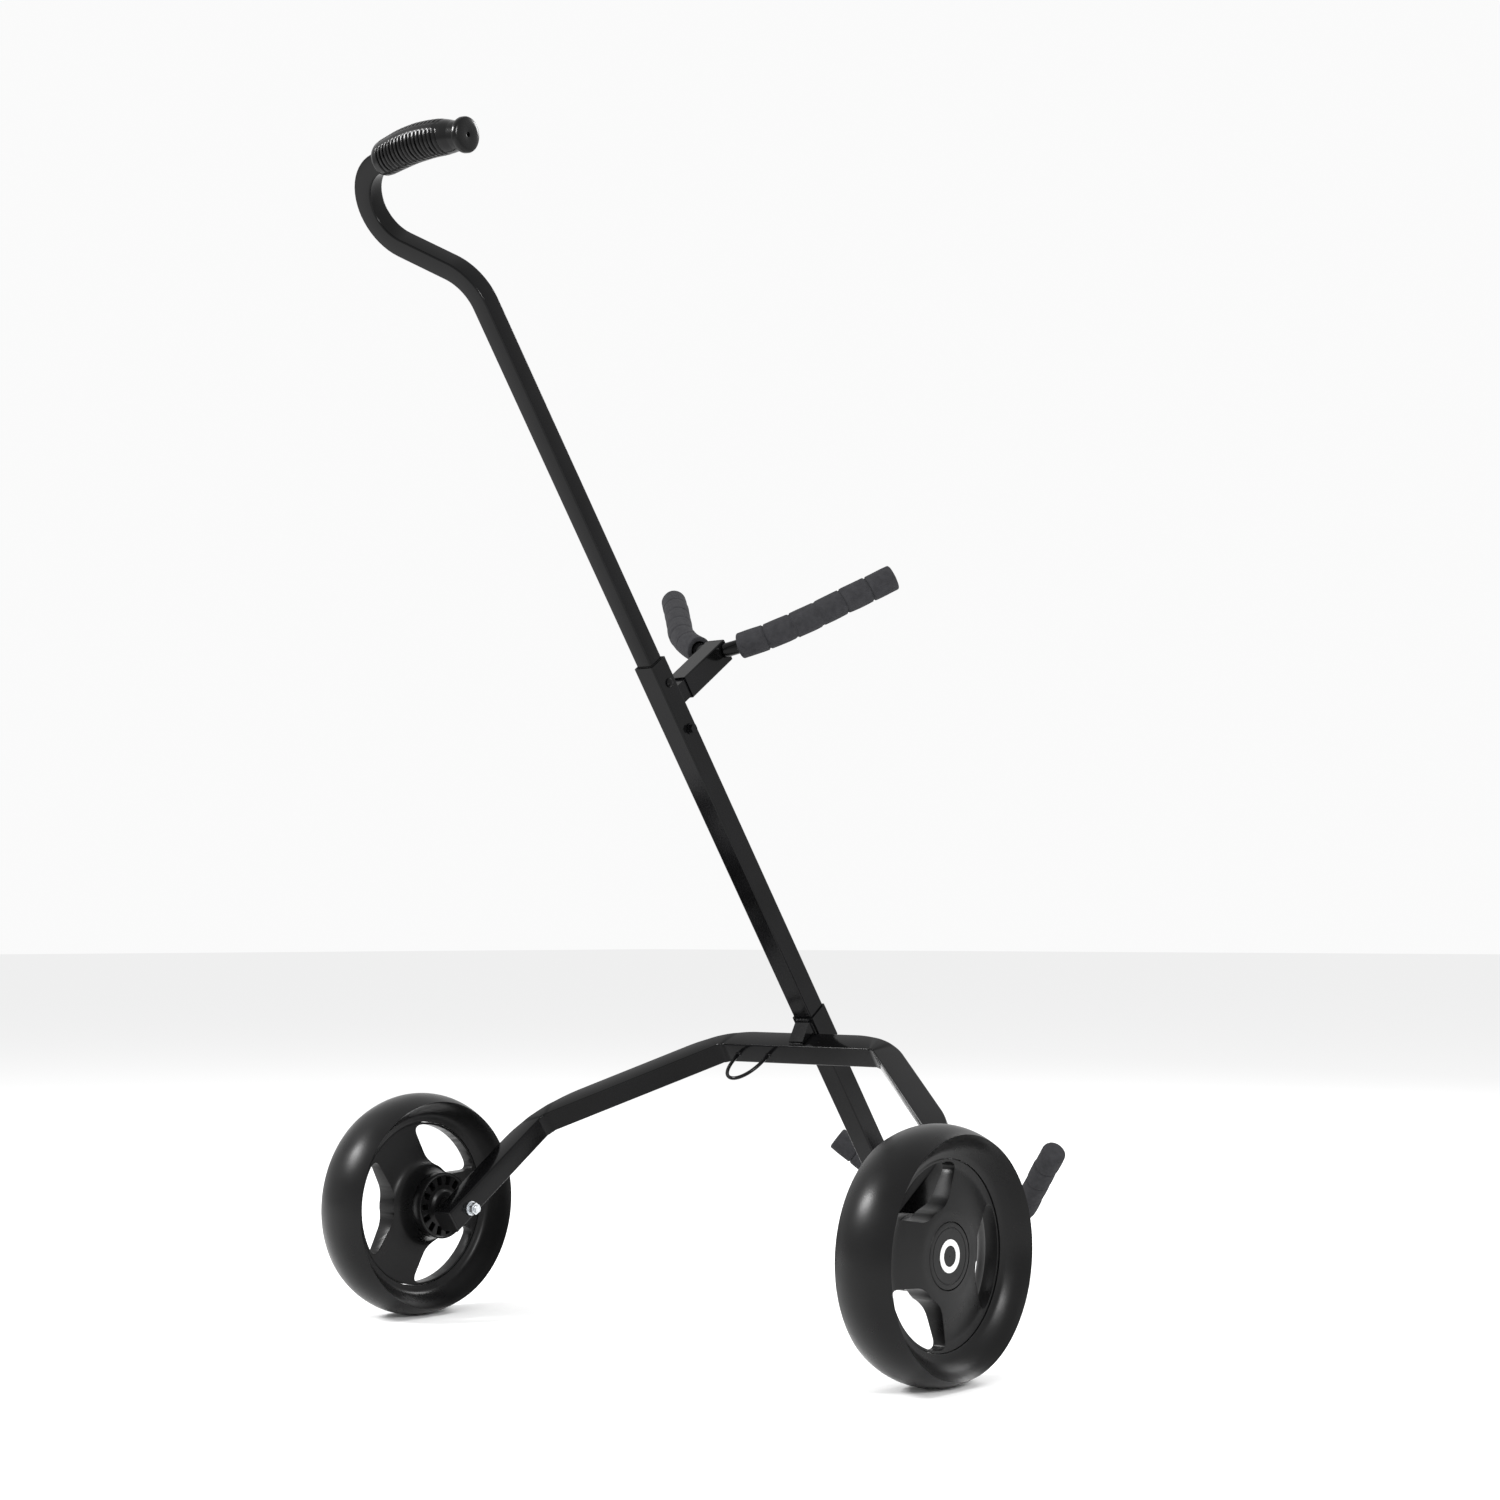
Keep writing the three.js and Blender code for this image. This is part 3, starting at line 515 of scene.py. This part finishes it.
def make_handle_tube():
    half = HANDLE_TUBE / 2
    peak = GRIP_TOP + GRIP_BOW * (1 / math.cos(GRIP_RISE) - 1)
    tip = GRIP_MIDDLE + 39
    lower, upper = SWAN_RADII
    swan_x = SWAN_RUN * math.cos(SWAN_HEADING)
    swan_y = SWAN_START + SWAN_RUN * math.sin(SWAN_HEADING)
    corners = [
        (0, 590),
        (0, SWAN_START, lower - half, lower + half),
        (swan_x, swan_y, upper - half, upper + half),
        (GRIP_MIDDLE, peak, GRIP_BOW - half, GRIP_BOW + half),
        (tip, peak - (tip - GRIP_MIDDLE) * math.tan(GRIP_RISE)),
    ]
    tube = bent_tube("swan_neck_tube", corners, HANDLE_TUBE, HANDLE_PLANE, "black_paint", "handle")
    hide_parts("handle_tube")


def grip_radius(x):
    """The grip's radius over its ribs."""
    for (x0, r0), (x1, r1) in zip(GRIP_BODY, GRIP_BODY[1:]):
        if x0 <= x <= x1:
            t = (x - x0) / (x1 - x0)
            return r0 + (r1 - r0) * t
    return GRIP_BODY[-1][1]


def clamped(value):
    return min(1, max(0, value))


def make_grip():
    """Ribs round the grip, broken by a smooth spine towards the person pushing and one opposite."""
    sides, steps = 72, 228
    rings = []
    for k in range(steps + 1):
        x = GRIP_FROM + (GRIP_TO - GRIP_FROM) * k / steps
        ribbed = clamped((x - RIBS_FROM) / RIBS_FADE) * clamped((RIBS_TO - x) / RIBS_FADE)
        wave = max(0.0, math.cos(2 * math.pi * x / RIB_PITCH)) ** 0.6
        ring = []
        for i in range(sides):
            angle = 2 * math.pi * i / sides
            from_spine = abs(math.sin(angle - GRIP_SPINE))
            band = clamped((from_spine - 0.22) / 0.14)
            radius = grip_radius(x) - RIB_DEPTH * ribbed * band * wave
            z = GRIP_TOP - bow_drop(x) + radius * math.cos(angle)
            ring.append((x, -radius * math.sin(angle), z))
        rings.append(ring)
    grip = piece("ribbed_grip", *skin(rings), SPINE, "grip_plastic", "handle", 70)
    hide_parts("handle_grip")


def make_grip_flange():
    """The disc on the grip's end, with a small hole in its face."""
    profile = [(66.4, 5), (66.4, 15.6), (67.2, 16.8), (68.6, 17.3), (72, 17.3), (73.2, 16.7)]
    profile += [(74, 15.2), (74.5, 12), (74.6, 4.2), (74.2, 2.4), (70, 1.9), (69, 1)]
    profile += [(69, 0.2), (67, 0.2)]
    height = GRIP_TOP - bow_drop(FLANGE_MIDDLE)
    middle = Matrix.Translation((FLANGE_MIDDLE * MM, 0, height * MM))
    back = Matrix.Translation((-FLANGE_MIDDLE * MM, 0, 0))
    place = SPINE @ middle @ Matrix.Rotation(GRIP_RISE, 4, "Y") @ back
    disc = lathe("grip_flange", profile, place, "grip_plastic", "handle", 96)
    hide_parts("handle_grip_end")


# ---- wheels --------------------------------------------------------------------------------------

# A wheel's own frame: X outward from the trolley, origin at the middle of the tyre.
TRACK_HALF = 364
WHEEL_RADIUS, TREAD_HALF, CROWN_DROP = 125, 33, 8.8
WINDOW_AT = {"right": 114, "left": 120}  # degrees round the wheel to the middle of one window
WINDOW_OUTER, WINDOW_INNER = 89.3, 46.5
WINDOW_OUTER_HALF, WINDOW_INNER_HALF = math.radians(38.5), math.radians(20)
WINDOW_ROUND = 12
HUB_POCKETS = 14
POCKET_RADIUS = 28


HUB_PROFILE = [(-29.3, 9.4), (-44, 9.4), (-44, 15.2), (-43.2, 16.4), (-41.8, 18.6), (-41.5, 19.6)]
HUB_PROFILE += [(-41.5, 34), (-42.6, 35), (-43.2, 36.4), (-42.4, 37), (-30.2, 37), (-29.3, 36.4)]
CAP_PROFILE = [(13, 0.5), (13, 32.2), (15, 32.2), (15.5, 31.7), (15.6, 31), (15.6, 27.6)]
CAP_PROFILE += [(15.1, 27.2), (15.1, 26.6), (15.6, 26.2), (15.6, 0.5)]
MARK_PROFILE = [(15.8, 10), (15.8, 16), (16.3, 15.8), (16.4, 15.4), (16.4, 10.6), (16.3, 10.2)]


def wheel_place(side):
    spin = Matrix.Identity(4) if side > 0 else Matrix.Rotation(math.pi, 4, "Z")
    return Matrix.Translation((side * TRACK_HALF * MM, AXLE.y, AXLE.z)) @ spin


def tyre_profile():
    """The crown, then the wall that faces out down to the rim, and the wall that faces in."""
    steps = 32
    crown = []
    for k in range(steps + 1):
        x = -TREAD_HALF + 2 * TREAD_HALF * k / steps
        crown.append((x, WHEEL_RADIUS - CROWN_DROP * abs(x / TREAD_HALF) ** 2.1))
    outward = [(33, 116.2), (29, 113.2), (20, 107), (13.4, 100), (11, 94.5), (10.6, 92.4)]
    inward = [(-5, 92.4), (-6, 95), (-9, 101), (-18, 107.5), (-29, 113.4), (-33, 116.2)]
    outward, inward = smooth_line(outward), smooth_line(inward)
    return crown + outward[1:] + inward[:-1]


def disc_profile():
    """The face that shows, the seat of the hub cap, the bore, and the face towards the trolley."""
    outward = [(9.6, 91.6), (9.4, 88), (9.2, 82), (11, 70), (13.2, 56), (14.9, 44), (15.4, 36)]
    outward.append((15.6, 33))
    seat_and_bore = [(12.8, 33), (12.8, 14), (6.2, 14), (6.2, 9.4), (-29, 9.4)]
    inward = [(-29, 36.5), (-20, 39), (-11, 44.5), (-6.8, 54), (-5.4, 72), (-4.6, 91.6)]
    return smooth_line(outward) + seat_and_bore + smooth_line(inward)


def polar(radius, angle):
    return Vector((radius * math.cos(angle), radius * math.sin(angle)))


def between(start, corner, end, t):
    """A point on the curve from start to end that heads for the corner."""
    return start * (1 - t) ** 2 + corner * 2 * t * (1 - t) + end * t * t


def window_cutter(index, start, place):
    """A rounded trapezium, wide at the rim, long enough to go right through the disc."""
    outer, inner = polar(WINDOW_OUTER, WINDOW_OUTER_HALF), polar(WINDOW_INNER, WINDOW_INNER_HALF)
    along = (outer - inner).normalized() * WINDOW_ROUND
    arc_end = WINDOW_OUTER_HALF - WINDOW_ROUND / WINDOW_OUTER
    arc_steps, round_steps = 12, 10
    half = [polar(WINDOW_OUTER, arc_end * k / arc_steps) for k in range(arc_steps + 1)]
    arc_tip, inner_tip = half[-1], Vector((WINDOW_INNER, 3))
    for k in range(1, round_steps + 1):
        half.append(between(arc_tip, outer, outer - along, k / round_steps))
    for k in range(round_steps + 1):
        half.append(between(inner + along, inner, inner_tip, k / round_steps))
    outline = half + [Vector((p.x, -p.y)) for p in reversed(half[1:])]
    turn = Matrix.Rotation(math.radians(start + 120 * index), 2)
    for point in outline:
        point.rotate(turn)
    reach = 45
    rings = [[(x, p.x, p.y) for p in outline] for x in (-reach, reach)]
    return bare(f"window_{index}", *skin(rings), place)


def pocket_cutter(index, place):
    """A rounded square hole, cut from the end of the hub."""
    turn = place @ Matrix.Rotation(2 * math.pi * index / HUB_POCKETS, 4, "X")
    square = rounded_rectangle(5, 3.4, 1.0, 3)
    rings = [[(x, POCKET_RADIUS + u, v) for u, v in square] for x in (-50, -33)]
    return bare(f"pocket_{index}", *skin(rings), turn)


def make_wheel(name, side):
    place = wheel_place(side)
    body = "wheel_" + name
    tyre = lathe("tread_" + name, tyre_profile(), place, "wheel_plastic", body)
    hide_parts("tyre_" + name)

    disc = lathe("dish_" + name, disc_profile(), place, "wheel_plastic", body)
    windows = [window_cutter(i, WINDOW_AT[name], place) for i in range(3)]
    carve(disc, windows, 1.7, "wheel_plastic")
    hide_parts("wheel_disc_" + name)

    ring = lathe("castellated_hub_" + name, HUB_PROFILE, place, "wheel_plastic", body, 96)
    pockets = [pocket_cutter(i, place) for i in range(HUB_POCKETS)]
    carve(ring, pockets, 0.35, "wheel_plastic")
    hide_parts("hub_ring_" + name)

    cap = lathe("cap_" + name, CAP_PROFILE, place, "wheel_plastic", body, 128)
    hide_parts("hub_cap_" + name)
    mark = lathe("cap_mark_" + name, MARK_PROFILE, place, "emblem", body, 96)
    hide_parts("hub_cap_ring_" + name)


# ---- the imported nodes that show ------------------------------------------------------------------

def finish_nodes():
    """Materials and slightly rounded edges for the nodes that no piece replaces."""
    slots = {part["node"]: part["material_slot"] for part in frame["record"]["subparts"]}
    for name, node in frame["nodes"].items():
        node.data.materials.clear()
        node.data.materials.append(BY_SLOT[slots[name]])
        node.data.shade_smooth()
        node.data.set_sharp_from_angle(angle=math.radians(30))
        rounding = node.modifiers.new("edges", "BEVEL")
        rounding.width = 0.35 * MM
        rounding.segments = 2
        rounding.limit_method = "ANGLE"
        rounding.angle_limit = math.radians(55)


# ---- stage ---------------------------------------------------------------------------------------

# Each light: where it is, how wide, and its power.
LIGHTS = {
    "key": ((-1.9, -2.2, 2.4), 0.8, 120),
    "fill": ((3.0, -0.6, 1.6), 0.7, 60),
    "back": ((0.6, 2.8, 2.6), 1.0, 60),
}


def make_stage():
    bpy.ops.mesh.primitive_plane_add(size=80, location=(0, 4, 0))
    floor = bpy.context.object
    floor.name = "floor"
    pale, _ = material("pale_floor", (0.9, 0.9, 0.9), 0.9, specular=0.0)
    floor.data.materials.append(pale)
    target = Vector((0, 0, 0.5))
    for name, (where, size, power) in LIGHTS.items():
        light = bpy.data.lights.new(name, "AREA")
        light.size = size
        light.energy = power
        lamp = bpy.data.objects.new(name, light)
        lamp.location = where
        lamp.rotation_euler = (target - Vector(where)).to_track_quat("-Z", "Y").to_euler()
        bpy.context.scene.collection.objects.link(lamp)
    world = bpy.data.worlds.new("studio")
    world.use_nodes = True
    sky = world.node_tree.nodes["Background"]
    sky.inputs["Color"].default_value = (0.96, 0.96, 0.96, 1)
    sky.inputs["Strength"].default_value = 1.0
    bpy.context.scene.world = world
    bpy.context.scene.view_settings.view_transform = "Standard"


def make_camera():
    lens = bpy.data.cameras.new("camera")
    lens.lens = 61.03
    lens.sensor_width = 36
    camera = bpy.data.objects.new("camera", lens)
    camera.location = (1.8134, AXLE.y - 2.0083, AXLE.z + 0.310)
    pitch, heading = math.radians(4.077), math.radians(39.96)
    camera.rotation_euler = (math.radians(90) + pitch, 0, heading)
    bpy.context.scene.collection.objects.link(camera)
    bpy.context.scene.camera = camera


finish_nodes()
make_axle_frame()
make_hanging_loop()
make_spine_welds()
make_cradles()
make_handle_tube()
make_grip()
make_grip_flange()
for wheel_name, wheel_side in (("left", -1), ("right", 1)):
    make_wheel(wheel_name, wheel_side)
make_stage()
make_camera()
